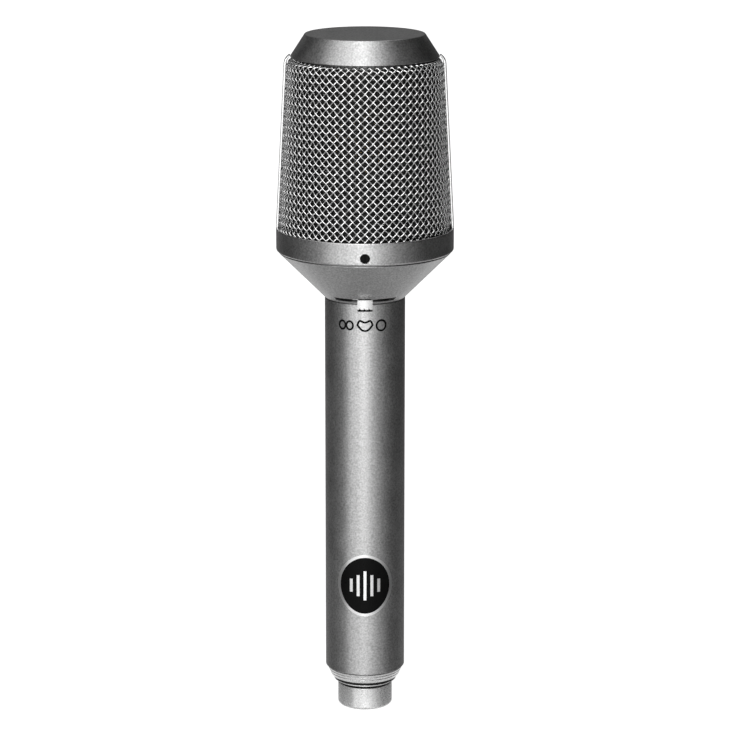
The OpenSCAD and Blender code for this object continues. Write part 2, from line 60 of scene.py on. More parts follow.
# Sizes shared with the CAD frame
BARREL_R = 11.0
BORE_R = 10.2
Z_TOP = 52.8
Z_FOOT = -52.8
Z_CONE = 53.0
Z_RIM = 66.1
RING_R = 24.2
Z_RING_TOP = 72.2
MESH_FOOT_R = 23.43
MESH_T = 0.95
Z_MESH = 70.1
TAPER = math.radians(3.05)
SHOULDER_R = 2.2
SHOULDER_END = math.radians(84)
Z_SHOULDER = 116.35
Z_CAP = 118.7
Z_CAP_TOP = 124.85
CAP_TOP_R = 16.2
CAP_RIM_R = 20.2
CAP_SKIRT_R = 18.2
CAP_SKIRT_DROP = 2.2
CAP_BORE_R = 17.2
CAP_WALL = 1.2
RING_BORE_R = 22.65
RING_STEP_R = MESH_FOOT_R + 0.17
Z_RING_STEP = 70.0
GRUB_AZIMUTHS = (-90, 30, 150)
GRUB_HOLE_R = 1.35
GRUB_Z = Z_RIM + 2.05
SPIGOT_R = BORE_R - 0.05
SPIGOT_BORE_R = 9.2
Z_SPIGOT = Z_TOP - 5.8
CONE_LEDGE_R = 20.2
Z_CONE_LEDGE = Z_RIM + 3.5
LEVER_SLOT_HALF = 42
LEVER_SLOT_Z = (53.67, 54.62)
Z_PAD_FOOT = 51.49
Z_NECK = -64.4
NECK_R = 7.55
NECK_BORE_R = 6.5
NECK_WAIST_R = NECK_R - 0.3
NECK_FLANGE_R = 9.1
Z_NECK_FLANGE = -53.9
Z_NECK_TOP = -58.05
STRIP_T = 0.77
STRIP_W = 3.2
STRIP_BEND = 2.3
STRIP_LAP = 1.0
STRIP_EDGE = 0.2


# ---- Materials ----

class Finish:
    """A Principled material with procedural layers. Patterns are laid in the frame's own coordinates."""

    def __init__(self, name, colour, metallic=0.0, roughness=0.5, **sockets):
        self.material = bpy.data.materials.new(name)
        self.material.use_nodes = True
        self.nodes = self.material.node_tree.nodes
        self.links = self.material.node_tree.links
        self.bsdf = self.nodes["Principled BSDF"]
        self.colour = colour
        self.roughness = roughness
        self.bsdf.inputs["Base Color"].default_value = (*colour, 1)
        self.bsdf.inputs["Metallic"].default_value = metallic
        self.bsdf.inputs["Roughness"].default_value = roughness
        for socket, value in sockets.items():
            self.bsdf.inputs[socket.replace("_", " ")].default_value = value
        self.coordinates = self.nodes.new("ShaderNodeTexCoord").outputs["Object"]

    def stretched(self, x=1.0, y=1.0, z=1.0):
        """Coordinates drawn out along an axis, for brushed or turned marks."""
        mapping = self.nodes.new("ShaderNodeMapping")
        mapping.inputs["Scale"].default_value = (x, y, z)
        self.links.new(self.coordinates, mapping.inputs["Vector"])
        return mapping.outputs["Vector"]

    def noise(self, size, detail=2.0, vector=None):
        """Noise whose grains are about size millimetres."""
        noise = self.nodes.new("ShaderNodeTexNoise")
        noise.inputs["Scale"].default_value = 1 / (size * MM)
        noise.inputs["Detail"].default_value = detail
        self.links.new(vector or self.coordinates, noise.inputs["Vector"])
        return noise.outputs["Fac"]

    def bands(self, size, axis):
        """Even bands along an axis, for windings and laminations."""
        wave = self.nodes.new("ShaderNodeTexWave")
        wave.bands_direction = axis
        wave.inputs["Scale"].default_value = math.pi / 10 / (size * MM)
        self.links.new(self.coordinates, wave.inputs["Vector"])
        return wave.outputs["Fac"]

    def attribute(self, name):
        """A mark stored on the mesh; it is zero on a mesh that has none."""
        node = self.nodes.new("ShaderNodeAttribute")
        node.attribute_name = name
        return node.outputs["Fac"]

    def spread(self, value, low, high, start=0.3, end=0.7):
        """Maps start..end of a pattern to low..high."""
        node = self.nodes.new("ShaderNodeMapRange")
        for socket, number in (("From Min", start), ("From Max", end), ("To Min", low), ("To Max", high)):
            node.inputs[socket].default_value = number
        self.links.new(value, node.inputs["Value"])
        return node.outputs["Result"]

    def math(self, operation, a, b):
        node = self.nodes.new("ShaderNodeMath")
        node.operation = operation
        for socket, value in zip(node.inputs, (a, b)):
            if isinstance(value, (int, float)):
                socket.default_value = value
            else:
                self.links.new(value, socket)
        return node.outputs["Value"]

    def shade(self, *factors):
        """Multiplies the base colour by each pattern in turn."""
        total = factors[0]
        for factor in factors[1:]:
            total = self.math("MULTIPLY", total, factor)
        node = self.nodes.new("ShaderNodeVectorMath")
        node.operation = "SCALE"
        node.inputs[0].default_value = self.colour
        self.links.new(total, node.inputs["Scale"])
        self.links.new(node.outputs["Vector"], self.bsdf.inputs["Base Color"])
        return self

    def tint(self, value, other, start=0.35, end=0.65):
        """Blends the base colour to another one by a pattern."""
        node = self.nodes.new("ShaderNodeMix")
        node.data_type = "RGBA"
        node.inputs["A"].default_value = (*self.colour, 1)
        node.inputs["B"].default_value = (*other, 1)
        self.links.new(self.spread(value, 0, 1, start, end), node.inputs["Factor"])
        self.links.new(node.outputs["Result"], self.bsdf.inputs["Base Color"])
        return self

    def rough(self, *offsets):
        """Adds patterns to the roughness."""
        total = self.roughness
        for offset in offsets:
            total = self.math("ADD", offset, total)
        self.links.new(total, self.bsdf.inputs["Roughness"])
        return self

    def bump(self, value, depth):
        """Raises the surface by a pattern, depth in millimetres."""
        node = self.nodes.new("ShaderNodeBump")
        node.inputs["Distance"].default_value = depth * MM
        self.links.new(value, node.inputs["Height"])
        self.links.new(node.outputs["Normal"], self.bsdf.inputs["Normal"])
        return self


def satin_nickel():
    """Bead-blasted nickel plate: a fine even speckle, faint handling marks, rubbed edges, and painted shade
    that darkens the joints, grooves and undercuts.
    """
    f = Finish("satin_nickel", (0.58, 0.58, 0.58), metallic=1.0, roughness=0.40)
    speckle = f.noise(0.46, 2.0)
    mottle = f.noise(7.0, 3.0)
    edge = f.attribute("edge")
    # Painted shade: the joints, grooves and undercuts marked on the mesh are darkened in colour, down to 0.35
    # of the base.
    seam = f.attribute("seam")
    f.shade(
        f.spread(speckle, 0.76, 1.24),
        f.spread(mottle, 0.97, 1.03),
        f.spread(edge, 1.0, 1.12, 0, 1),
        f.spread(seam, 1.0, 0.35, 0, 1),
    )
    f.rough(f.spread(mottle, -0.025, 0.03), f.spread(speckle, -0.02, 0.02), f.spread(edge, 0, -0.08, 0, 1))
    f.bump(speckle, 0.012)
    return f


def bright_nickel():
    """Paler blasted nickel of the connector end, with near-black painted shade in its joints, grooves and
    undercuts.
    """
    f = Finish("bright_nickel", (0.92, 0.92, 0.92), metallic=0.8, roughness=0.29)
    speckle = f.noise(0.5, 2.0)
    # Painted shade: the joints, grooves and undercuts marked on the mesh are darkened in colour nearly to
    # black.
    seam = f.attribute("seam")
    f.shade(f.spread(speckle, 0.82, 1.14), f.spread(seam, 1.0, 0.03, 0, 1))
    f.rough(f.spread(speckle, -0.03, 0.03))
    f.bump(speckle, 0.006)
    return f


def brushed(name, colour, roughness, axis):
    """Plain metal with fine brush lines along one axis."""
    f = Finish(name, colour, metallic=1.0, roughness=roughness)
    scale = {"X": (0.04, 1, 1), "Y": (1, 0.04, 1), "Z": (1, 1, 0.04)}[axis]
    lines = f.noise(0.12, 3.0, f.stretched(*scale))
    f.shade(f.spread(lines, 0.9, 1.06), f.spread(f.noise(5.0), 0.96, 1.03))
    f.rough(f.spread(lines, -0.04, 0.05))
    f.bump(lines, 0.003)
    return f


def bright_lever():
    """Bright plate, with a dark band along the finger pad's lower edge in place of its shadow."""
    band_top = (Z_PAD_FOOT + 0.72) * MM
    band_full = (Z_PAD_FOOT + 0.50) * MM
    f = Finish("bright_lever", (0.66, 0.66, 0.66), metallic=1.0, roughness=0.30)
    height = f.nodes.new("ShaderNodeSeparateXYZ")
    f.links.new(f.coordinates, height.inputs[0])
    lines = f.noise(0.12, 3.0, f.stretched(0.04, 1, 1))
    band = f.spread(height.outputs["Z"], 0.04, 1.0, band_full, band_top)
    f.shade(f.spread(lines, 0.9, 1.06), band)
    f.rough(f.spread(lines, -0.04, 0.05))
    f.bump(lines, 0.003)
    return f


def turned(name, colour, roughness):
    """Lathe-turned metal: fine rings round the vertical axis."""
    f = Finish(name, colour, metallic=1.0, roughness=roughness)
    rings = f.noise(0.15, 3.0, f.stretched(0.02, 0.02, 1))
    f.shade(f.spread(rings, 0.88, 1.06))
    f.rough(f.spread(rings, -0.05, 0.06))
    f.bump(rings, 0.004)
    return f


def moulded(name, colour, roughness, grain=0.4, depth=0.004, **sockets):
    """Moulded or painted surface with a faint grain."""
    f = Finish(name, colour, roughness=roughness, **sockets)
    fine = f.noise(grain, 3.0)
    f.shade(f.spread(fine, 0.88, 1.12), f.spread(f.noise(4.0), 0.92, 1.06))
    f.rough(f.spread(fine, -0.05, 0.05))
    f.bump(fine, depth)
    return f


def laminate():
    """Resin-bonded paper board: brown, with fibres and faint layers."""
    f = Finish("laminate", (0.26, 0.13, 0.055), roughness=0.45)
    fibres = f.noise(0.35, 4.0, f.stretched(0.15, 1, 1))
    f.tint(fibres, (0.40, 0.22, 0.10))
    f.rough(f.spread(fibres, -0.08, 0.08))
    f.bump(fibres, 0.01)
    return f


def resistor():
    """Tan body with dark painted bands across it."""
    f = Finish("tan_resistor", (0.55, 0.38, 0.22), roughness=0.4)
    f.tint(f.bands(0.55, "X"), (0.12, 0.05, 0.03), 0.72, 0.80)
    f.bump(f.noise(0.3), 0.006)
    return f


def gold_film():
    """Gold-sputtered film: smooth, with a faint drum-tight ripple."""
    f = Finish("gold_film", (0.93, 0.66, 0.28), metallic=1.0, roughness=0.16)
    ripple = f.noise(2.2, 1.0)
    f.shade(f.spread(ripple, 0.94, 1.04))
    f.bump(ripple, 0.02)
    return f


def valve_glass():
    """Clear glass envelope with a faint waviness."""
    f = Finish("valve_glass", (0.80, 0.84, 0.84), roughness=0.06, IOR=1.5, Transmission_Weight=0.9)
    f.bump(f.noise(3.0), 0.01)
    return f


def wound(name, colour, other, size, axis, roughness):
    """Windings or laminations seen edge on."""
    f = Finish(name, colour, metallic=1.0, roughness=roughness)
    lines = f.bands(size, axis)
    f.tint(lines, other, 0.3, 0.9)
    f.bump(lines, 0.05)
    return f


FINISH = {
    "satin_nickel": satin_nickel(),
    "bright_nickel": bright_nickel(),
    "bright_mesh": Finish("bright_mesh", (0.86, 0.86, 0.86), metallic=1.0, roughness=0.09),
    # Painted shade: the gauze's near-black colour stands for the shadow that falls in the gaps behind the
    # woven wires.
    "fine_gauze": Finish("fine_gauze", (0.035, 0.035, 0.035), metallic=1.0, roughness=0.38),
    "bright_strip": brushed("bright_strip", (0.60, 0.60, 0.60), 0.26, "Z"),
    "black_steel": moulded("black_steel", (0.004, 0.004, 0.004), 0.55, grain=0.15, Specular_IOR_Level=0.12),
    "bright_steel": turned("bright_steel", (0.72, 0.72, 0.73), 0.26),
    "bright_lever": bright_lever(),
    "bright_badge": brushed("bright_badge", (0.95, 0.95, 0.95), 0.34, "X"),
    "black_enamel": moulded("black_enamel", (0.003, 0.003, 0.003), 0.32, grain=1.2, Specular_IOR_Level=0.07),
    "laminate": laminate(),
    "black_phenolic": moulded("black_phenolic", (0.012, 0.012, 0.012), 0.5, grain=0.4),
    "black_rubber": moulded("black_rubber", (0.018, 0.018, 0.018), 0.78, grain=0.2, depth=0.01),
    "ivory_insulator": moulded("ivory_insulator", (0.72, 0.65, 0.48), 0.42, grain=0.6),
    "gold_plate": turned("gold_plate", (0.94, 0.69, 0.32), 0.24),
    "gold_film": gold_film(),
    "red_lead": moulded("red_lead", (0.45, 0.025, 0.02), 0.48, grain=0.3),
    "turned_brass": turned("turned_brass", (0.78, 0.57, 0.27), 0.28),
    "chassis_aluminium": brushed("chassis_aluminium", (0.72, 0.73, 0.74), 0.38, "X"),
    "valve_glass": valve_glass(),
    "tan_resistor": resistor(),
    "blue_capacitor": moulded("blue_capacitor", (0.05, 0.16, 0.34), 0.38, grain=0.5),
    "core_iron": wound("core_iron", (0.20, 0.20, 0.21), (0.06, 0.06, 0.06), 0.35, "Y", 0.45),
    "copper_coil": wound("copper_coil", (0.62, 0.30, 0.14), (0.20, 0.07, 0.03), 0.22, "Z", 0.32),
    "screening_can": brushed("screening_can", (0.58, 0.58, 0.57), 0.36, "Z"),
    "brown_insert": moulded("brown_insert", (0.075, 0.036, 0.018), 0.38, grain=0.5),
}

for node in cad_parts.values():
    for slot_index, packed in enumerate(node.data.materials):
        node.data.materials[slot_index] = FINISH[packed.name.split(".")[0]].material


# ---- Mesh building ----

def piece(name, vertices, faces, slot, body=MAIN, replaces=(), marks=None):
    """A closed mesh, in millimetres, that rides on a body. marks are values stored on its points."""
    vertices = np.asarray(vertices, float) * MM
    mesh = bpy.data.meshes.new(name)
    if isinstance(faces, np.ndarray):
        count, corners = faces.shape
        mesh.vertices.add(len(vertices))
        mesh.vertices.foreach_set("co", vertices.astype(np.float32).ravel())
        mesh.loops.add(count * corners)
        mesh.loops.foreach_set("vertex_index", faces.astype(np.int32).ravel())
        mesh.polygons.add(count)
        mesh.polygons.foreach_set("loop_start", np.arange(count, dtype=np.int32) * corners)
        mesh.update(calc_edges=True)
    else:
        mesh.from_pydata(vertices.tolist(), [], faces)
    mesh.polygons.foreach_set("use_smooth", np.ones(len(mesh.polygons), bool))
    for mark, values in (marks or {}).items():
        layer = mesh.attributes.new(mark, "FLOAT", "POINT")
        layer.data.foreach_set("value", np.asarray(values, np.float32))
    mesh.validate()
    mesh.materials.append(FINISH[slot].material)
    made = bpy.data.objects.new(name, mesh)
    bpy.context.scene.collection.objects.link(made)
    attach(made, body)
    if replaces:
        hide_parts(*replaces)
    return made


def rounded(corners, steps=5, closed=True):
    """Turns corners (r, z, radius, painted shade) into profile points (r, z, edge, painted shade), each
    corner a real arc.
    """
    points = []
    count = len(corners)
    for k, (r, z, radius, seam) in enumerate(corners):
        here = np.array([r, z], float)
        before = np.array(corners[k - 1][:2], float)
        after = np.array(corners[(k + 1) % count][:2], float)
        if radius == 0 or (not closed and k in (0, count - 1)):
            points.append((r, z, 0.0, seam))
            continue
        a = (before - here) / np.linalg.norm(before - here)
        b = (after - here) / np.linalg.norm(after - here)
        half = math.acos(np.clip(a @ b, -1, 1)) / 2
        reach = radius / math.tan(half)
        centre = here + (a + b) / np.linalg.norm(a + b) * radius / math.sin(half)
        support = min(0.4 * radius, 0.08)
        points.append((*(here + a * (reach + support)), 0.0, seam))
        start = here + a * reach - centre
        end = here + b * reach - centre
        sweep = math.pi - 2 * half
        for step in range(steps + 1):
            t = step / steps
            arc = (start * math.sin((1 - t) * sweep) + end * math.sin(t * sweep)) / math.sin(sweep)
            points.append((*(centre + arc), 1.0 if 0 < step < steps else 0.4, seam))
        points.append((*(here + b * (reach + support)), 0.0, seam))
    return points


def lathe(name, profile, slot, segments=240, **options):
    """Turns a closed profile of (r, z, edge, painted shade) round the axis. Points on the axis are shared."""
    profile = np.array(profile, float)
    angle = np.arange(segments) * TAU / segments
    vertices, rows, edge, seam = [], [], [], []
    for r, z, on_edge, in_seam in profile:
        if r < 1e-6:
            rows.append([len(vertices)] * segments)
            vertices.append((0, 0, z))
        else:
            rows.append(list(range(len(vertices), len(vertices) + segments)))
            vertices.extend(zip(r * np.cos(angle), r * np.sin(angle), [z] * segments))
        added = len(vertices) - len(edge)
        edge += [on_edge] * added
        seam += [in_seam] * added
    faces = []
    r0, z0 = profile[:, 0], profile[:, 1]
    flip = (r0 * np.roll(z0, -1) - np.roll(r0, -1) * z0).sum() > 0
    for row, following in zip(rows, rows[1:] + rows[:1]):
        for k in range(segments):
            n = (k + 1) % segments
            corners = list(dict.fromkeys((row[k], row[n], following[n], following[k])))
            if len(corners) > 2:
                faces.append(corners[::-1] if flip else corners)
    return piece(name, vertices, faces, slot, marks={"edge": edge, "seam": seam}, **options)


def cut(target, cutters):
    """Subtracts closed meshes from a piece and removes them."""
    for cutter in cutters:
        modifier = target.modifiers.new("cut", "BOOLEAN")
        modifier.operation = "DIFFERENCE"
        modifier.solver = "EXACT"
        modifier.object = cutter
    bpy.context.view_layer.update()
    evaluated = target.evaluated_get(bpy.context.evaluated_depsgraph_get())
    mesh = bpy.data.meshes.new_from_object(evaluated)
    target.modifiers.clear()
    mesh.set_sharp_from_angle(angle=math.radians(40))
    target.data = mesh
    for cutter in cutters:
        bpy.data.objects.remove(cutter)


def solid(vertices, faces):
    """A bare mesh object in millimetres, used only to cut with."""
    mesh = bpy.data.meshes.new("cutter")
    mesh.from_pydata((np.asarray(vertices, float) * MM).tolist(), [], faces)
    shape = bmesh.new()
    shape.from_mesh(mesh)
    bmesh.ops.recalc_face_normals(shape, faces=shape.faces)
    shape.to_mesh(mesh)
    shape.free()
    made = bpy.data.objects.new("cutter", mesh)
    bpy.context.scene.collection.objects.link(made)
    return made


def radial_drill(azimuth, z, radius, r0, r1, sides=48):
    """A cylinder along a radius of the microphone, at azimuth degrees and height z."""
    a = np.arange(sides) * TAU / sides
    c, s = math.cos(math.radians(azimuth)), math.sin(math.radians(azimuth))
    vertices = []
    for r in (r0, r1):
        across = radius * np.cos(a)
        vertices += list(zip(r * c - across * s, r * s + across * c, z + radius * np.sin(a)))
    faces = [(k, (k + 1) % sides, sides + (k + 1) % sides, sides + k) for k in range(sides)]
    return solid(vertices, faces + [tuple(range(sides))[::-1], tuple(range(sides, 2 * sides))])


def sector(azimuth, half_angle, r0, r1, z0, z1, steps=64):
    """A block that follows the round, half_angle each side of azimuth, in degrees."""
    vertices, faces = [], []
    for k in range(steps + 1):
        a = math.radians(azimuth - half_angle + 2 * half_angle * k / steps)
        for r, z in ((r0, z0), (r1, z0), (r1, z1), (r0, z1)):
            vertices.append((r * math.cos(a), r * math.sin(a), z))
    for k in range(steps):
        i = 4 * k
        faces += [(i + e, i + (e + 1) % 4, i + 4 + (e + 1) % 4, i + 4 + e) for e in range(4)]
    last = 4 * steps
    return solid(vertices, faces + [(3, 2, 1, 0), (last, last + 1, last + 2, last + 3)])


# ---- Turned metal parts: every corner is (radius, height, rounding, strength of the painted shade at it) ----

lathe("cap_turned", rounded([
    (0, Z_CAP_TOP, 0, 0),
    (CAP_TOP_R, Z_CAP_TOP, 0.35, 0),
    (CAP_RIM_R, Z_CAP, 0.12, 0),
    (CAP_SKIRT_R, Z_CAP - 0.05, 0.1, 1),
    (CAP_SKIRT_R, Z_CAP - CAP_SKIRT_DROP, 0.1, 1),
    (CAP_BORE_R, Z_CAP - CAP_SKIRT_DROP, 0.1, 0),
    (CAP_BORE_R, Z_CAP + 0.9, 0, 0),
    (CAP_TOP_R - CAP_WALL, Z_CAP_TOP - CAP_WALL, 0, 0),
    (0, Z_CAP_TOP - CAP_WALL, 0, 0),
], closed=False), "satin_nickel", replaces=["top_cap"])

grille_ring = lathe("ring_turned", rounded([
    (RING_BORE_R, Z_RIM, 0.1, 1),
    (RING_R, Z_RIM, 0.45, 0),
    (RING_R, Z_RING_TOP, 0.22, 0),
    (RING_STEP_R, Z_RING_TOP, 0.08, 0.4),
    (RING_STEP_R, Z_RING_STEP, 0, 1),
    (RING_BORE_R, Z_RING_STEP, 0, 1),
]), "satin_nickel", replaces=["grille_ring"])
cut(grille_ring, [radial_drill(a, GRUB_Z, GRUB_HOLE_R, 20, 28) for a in GRUB_AZIMUTHS])

head_cone = lathe("cone_turned", rounded([
    # spigot in the barrel, and the joint above it, darkened with painted shade
    (SPIGOT_R, Z_SPIGOT, 0.1, 0),
    (SPIGOT_R, Z_TOP, 0, 1),
    (10.45, Z_TOP, 0, 1),
    (10.45, Z_CONE, 0, 1),
    # the cone, and the gap under the ring, darkened with painted shade
    (10.9, Z_CONE, 0.08, 0.2),
    (23.7, Z_RIM - 0.3, 0.1, 0),
    (23.3, Z_RIM - 0.3, 0, 1),
    (23.3, Z_RIM, 0, 1),
    # collar inside the ring
    (22.6, Z_RIM, 0, 1),
    (22.6, Z_CONE_LEDGE, 0.1, 0),
    (CONE_LEDGE_R, Z_CONE_LEDGE, 0.1, 0),
    (CONE_LEDGE_R, Z_RIM + 0.3, 0, 0),
    # hollow inside
    (18.0, Z_RIM + 0.3, 0.1, 0),
    (18.0, 62.3, 0, 0),
    (10.6, 54.9, 0, 0),
    (10.0, 54.9, 0, 0),
    (10.0, Z_CONE, 0, 0),
    (SPIGOT_BORE_R, Z_CONE, 0.1, 0),
    (SPIGOT_BORE_R, Z_SPIGOT, 0.1, 0),
]), "satin_nickel", replaces=["head_cone"])
lever_slot = sector(-90, LEVER_SLOT_HALF, 9, 14, *LEVER_SLOT_Z)
cut(head_cone, [lever_slot] + [radial_drill(a, GRUB_Z, GRUB_HOLE_R, 19.2, 24) for a in GRUB_AZIMUTHS])

COLLAR_TOP_R = BARREL_R - 0.4
COLLAR_CONE_R = BARREL_R - 1.6
COLLAR_TOP = 0.3
COLLAR_CONE_DROP = 2.95
COLLAR_BORE_R = 9.2
Z_COLLAR_TENON = -50.4
BEAD_DROP = 3.9
Z_COLLAR_FOOT = -57.2
GROOVE_DROPS = (1.1, 2.0)
GROOVE_DEPTH = 0.13


def collar_r(drop):
    """Radius of the collar's cone, drop millimetres below the barrel."""
    part = (drop - COLLAR_TOP) / (COLLAR_CONE_DROP - COLLAR_TOP)
    return COLLAR_TOP_R + (COLLAR_CONE_R - COLLAR_TOP_R) * part


grooves = []
for drop in GROOVE_DROPS:
    grooves += [
        (collar_r(drop - 0.18), Z_FOOT - drop + 0.18, 0.04, 0),
        (collar_r(drop) - GROOVE_DEPTH, Z_FOOT - drop, 0.03, 0.7),
        (collar_r(drop + 0.1), Z_FOOT - drop - 0.1, 0.03, 0),
    ]
lathe("collar_turned", rounded([
    # tenon in the barrel, and the joint below it, darkened with painted shade
    (SPIGOT_R, Z_COLLAR_TENON, 0, 0),
    (SPIGOT_R, Z_FOOT, 0, 1),
    (COLLAR_TOP_R - 0.4, Z_FOOT, 0, 1),
    (COLLAR_TOP_R - 0.4, Z_FOOT - COLLAR_TOP, 0, 1),
    (COLLAR_TOP_R, Z_FOOT - COLLAR_TOP, 0.08, 0.2),
] + grooves + [
    # undercut below the cone, darkened with painted shade, then the bead
    (COLLAR_CONE_R, Z_FOOT - COLLAR_CONE_DROP, 0.12, 0),
    (NECK_R + 1.1, Z_FOOT - COLLAR_CONE_DROP, 0, 1),
    (NECK_R + 1.1, Z_FOOT - BEAD_DROP, 0, 1),
    (NECK_R + 1.35, Z_FOOT - BEAD_DROP, 0.1, 0),
    (NECK_R + 0.65, Z_COLLAR_FOOT, 0.1, 0),
    # bore round the neck
    (NECK_R - 0.28, Z_COLLAR_FOOT, 0, 1),
    (NECK_R - 0.28, Z_NECK_FLANGE, 0, 1),
    (COLLAR_BORE_R, Z_NECK_FLANGE, 0, 0),
    (COLLAR_BORE_R, Z_COLLAR_TENON, 0, 0),
]), "bright_nickel", replaces=["end_collar"])

lathe("neck_turned", rounded([
    (NECK_FLANGE_R, Z_FOOT, 0, 0),
    (NECK_FLANGE_R, Z_NECK_FLANGE, 0, 0),
    (NECK_WAIST_R, Z_NECK_FLANGE, 0, 1),
    (NECK_WAIST_R, Z_NECK_TOP, 0, 1),
    (NECK_R, Z_NECK_TOP, 0.1, 0.2),
    (NECK_R, Z_NECK, 0.7, 0),
    (NECK_BORE_R, Z_NECK, 0.2, 0),
    (NECK_BORE_R, Z_FOOT, 0, 0),
]), "bright_nickel", replaces=["connector_neck"])

# ---- Strips over the seams of the grille ----

def strip_line():
    """Points up a strip's inner face: radius, height, outward lean and share of the full thickness."""
    shoulder = Z_CAP - 1.6
    end = math.atan((CAP_RIM_R - CAP_TOP_R) / (Z_CAP_TOP - Z_CAP))
    foot = np.array([MESH_FOOT_R, Z_RING_TOP])
    bend_r = MESH_FOOT_R - (shoulder - Z_RING_TOP) * math.tan(TAPER)
    centre = np.array([bend_r - STRIP_BEND * math.cos(TAPER), shoulder - STRIP_BEND * math.sin(TAPER)])
    top = np.array([bend_r, shoulder])
    line = [(*(foot + (top - foot) * t), TAPER, 1.0) for t in (0, 0.004, 0.5, 1)]
    bend_steps = 8
    for k in range(1, bend_steps + 1):
        lean = TAPER + (end - TAPER) * k / bend_steps
        outward = np.array([math.cos(lean), math.sin(lean)])
        line.append((*(centre + STRIP_BEND * outward), lean, 1 - 0.035 * k))
    tip = np.array(line[-1][:2])
    up = np.array([-math.sin(end), math.cos(end)])
    for part, thick in ((0.6, 0.55), (0.9, 0.4), (1, 0.25)):
        line.append((*(tip + up * STRIP_LAP * part), end, thick))
    return line


def strip(name, side, replaces):
    """A flat strip with rounded edges, thinner over the cap. side is -1 on the left and 1 on the right."""
    steps = 4
    outline = []
    for k, (across, out) in enumerate(((1, 1), (-1, 1), (-1, -1), (1, -1))):
        for step in range(steps + 1):
            a = math.pi / 2 * (k + step / steps)
            outline.append((across * (STRIP_W / 2 - STRIP_EDGE) + STRIP_EDGE * math.cos(a),
                            STRIP_T / 2 + out * (STRIP_T / 2 - STRIP_EDGE) + STRIP_EDGE * math.sin(a)))
    line = strip_line()
    vertices = []
    for r, z, lean, thick in line:
        for across, out in outline:
            out *= thick
            across *= min(1, 0.8 + thick / 2)
            vertices.append((side * (r + out * math.cos(lean)), side * across, z + out * math.sin(lean)))
    count = len(outline)
    faces = []
    for k in range(len(line) - 1):
        for i in range(count):
            n = (i + 1) % count
            faces.append((k * count + i, (k + 1) * count + i, (k + 1) * count + n, k * count + n))
    last = (len(line) - 1) * count
    faces += [tuple(range(count)), tuple(range(last + count - 1, last - 1, -1))]
    made = piece(name, vertices, faces, "bright_strip", replaces=replaces)
    made.data.set_sharp_from_angle(angle=math.radians(50))
    return made


strip("strip_left", -1, ["side_strip_left"])
strip("strip_right", 1, ["side_strip_right"])

# ---- Woven grille ----

def mesh_line(s, depth):
    """Radius, height and lean of the grille's wall, at slant s from its foot and depth inside its face."""
    s = np.asarray(s, float)
    cx = MESH_FOOT_R - (Z_SHOULDER - Z_RING_TOP) * math.tan(TAPER) - SHOULDER_R * math.cos(TAPER)
    cz = Z_SHOULDER - SHOULDER_R * math.sin(TAPER)
    straight = (Z_SHOULDER - Z_MESH) / math.cos(TAPER)
    lean = TAPER + np.clip(s - straight, 0, None) / SHOULDER_R
    foot = MESH_FOOT_R - (Z_MESH - Z_RING_TOP) * math.tan(TAPER)
    on_wall = s <= straight
    r = np.where(on_wall, foot - s * math.sin(TAPER), cx + SHOULDER_R * np.cos(lean))
    z = np.where(on_wall, Z_MESH + s * math.cos(TAPER), cz + SHOULDER_R * np.sin(lean))
    return r - depth * np.cos(lean), z - depth * np.sin(lean), lean


WALL_SLANT = (Z_SHOULDER - Z_MESH) / math.cos(TAPER) + SHOULDER_R * (SHOULDER_END - TAPER)


def wall_points(s, theta, depth):
    """Points on the grille's wall, and their outward directions. theta is measured from the front."""
    r, z, lean = mesh_line(s, depth)
    c, d = np.sin(theta), -np.cos(theta)
    points = np.stack([r * c, r * d, z], -1)
    normals = np.stack([np.cos(lean) * c, np.cos(lean) * d, np.sin(lean)], -1)
    return points, normals


def wires(name, paths, radius, sides, slot, replaces):
    """One mesh of round wires, each a path of points with the wall's outward direction at each point."""
    turn = np.arange(sides) * TAU / sides
    vertices, faces, base = [], [], 0
    half = sides // 2
    ring_caps = np.array([(k - 1, k, sides - k - 1, sides - k) for k in range(1, half)])
    for points, normals in paths:
        tangent = np.gradient(points, axis=0)
        tangent /= np.linalg.norm(tangent, axis=1)[:, None]
        side = np.cross(tangent, normals)
        side /= np.linalg.norm(side, axis=1)[:, None]
        up = np.cross(side, tangent)
        ring = points[:, None] + radius * (
            np.cos(turn)[:, None] * side[:, None] + np.sin(turn)[:, None] * up[:, None]
        )
        vertices.append(ring.reshape(-1, 3))
        k = np.arange((len(points) - 1) * sides)
        a = base + k
        b = base + k // sides * sides + (k + 1) % sides
        faces.append(np.stack([b, a, a + sides, b + sides], 1))
        faces.append(ring_caps + base)
        faces.append(ring_caps[:, ::-1] + base + (len(points) - 1) * sides)
        base += len(points) * sides
    return piece(name, np.concatenate(vertices), np.concatenate(faces), slot, replaces=replaces)


WEAVE_PITCH = 1.54
WEAVE_WIRE_R = 0.21
WEAVE_CRIMP = 0.18
WEAVE_STEP = WEAVE_PITCH / 6
WEAVE_REACH = 60
SEAM_HALF = math.radians(89.6)


